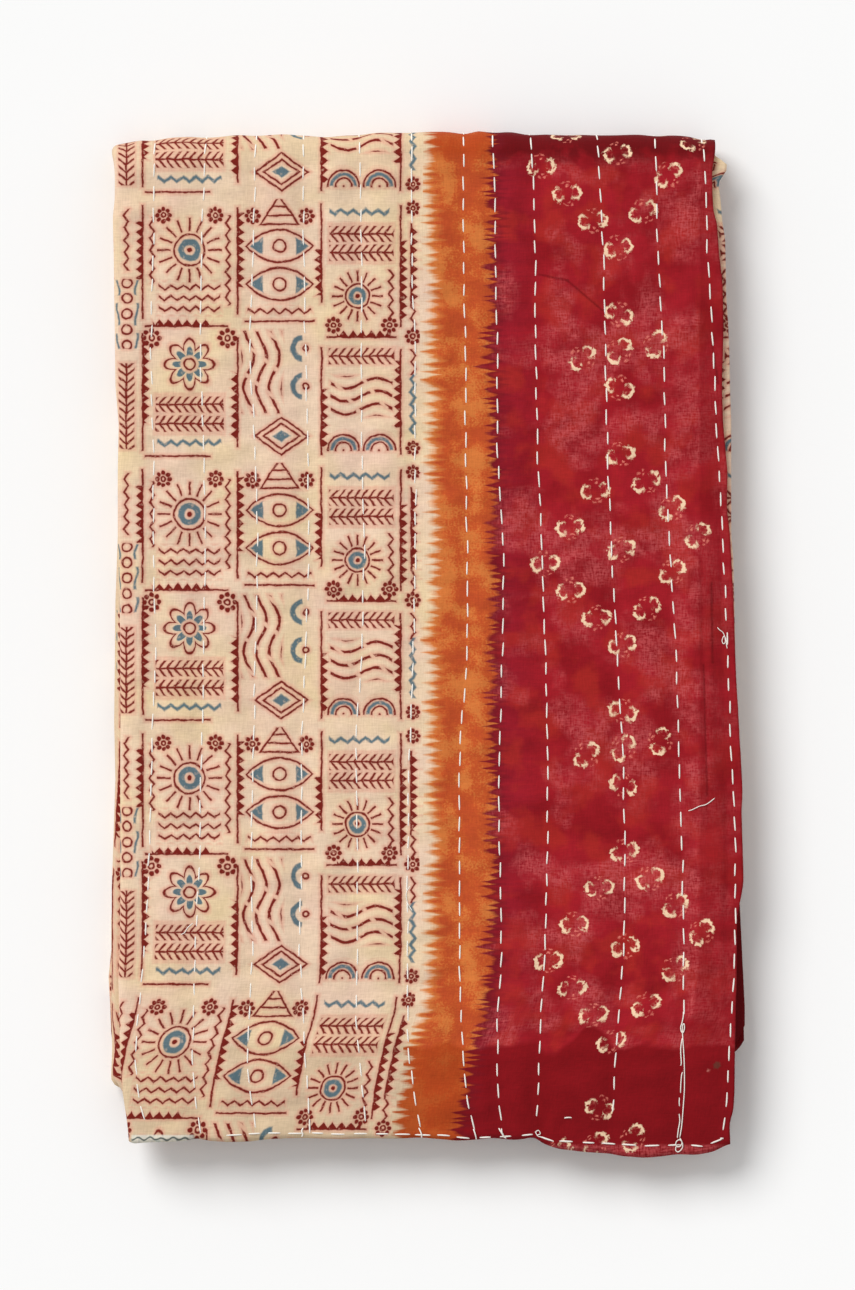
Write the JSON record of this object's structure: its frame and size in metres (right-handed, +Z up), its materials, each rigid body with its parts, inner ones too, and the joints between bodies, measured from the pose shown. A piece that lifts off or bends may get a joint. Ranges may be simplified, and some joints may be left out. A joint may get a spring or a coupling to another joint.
{
  "type": "kantha quilt",
  "caption": "Kantha quilt of thin cotton layers sewn with running stitch, folded lengthwise and crosswise into a flat stack that lies on a surface.",
  "frame": {"origin": "middle of the underside, on the surface that the folded quilt lies on", "axes": "+Z up, +Y towards the folded end, +X towards the open long side"},
  "size_m": [0.3168, 0.513, 0.0261],
  "materials": {
    "quilted_cotton": "matte washed cotton, printed and stitched"
  },
  "bodies": {
    "root": {"quilt": "quilted_cotton"}
  },
  "joints": []
}
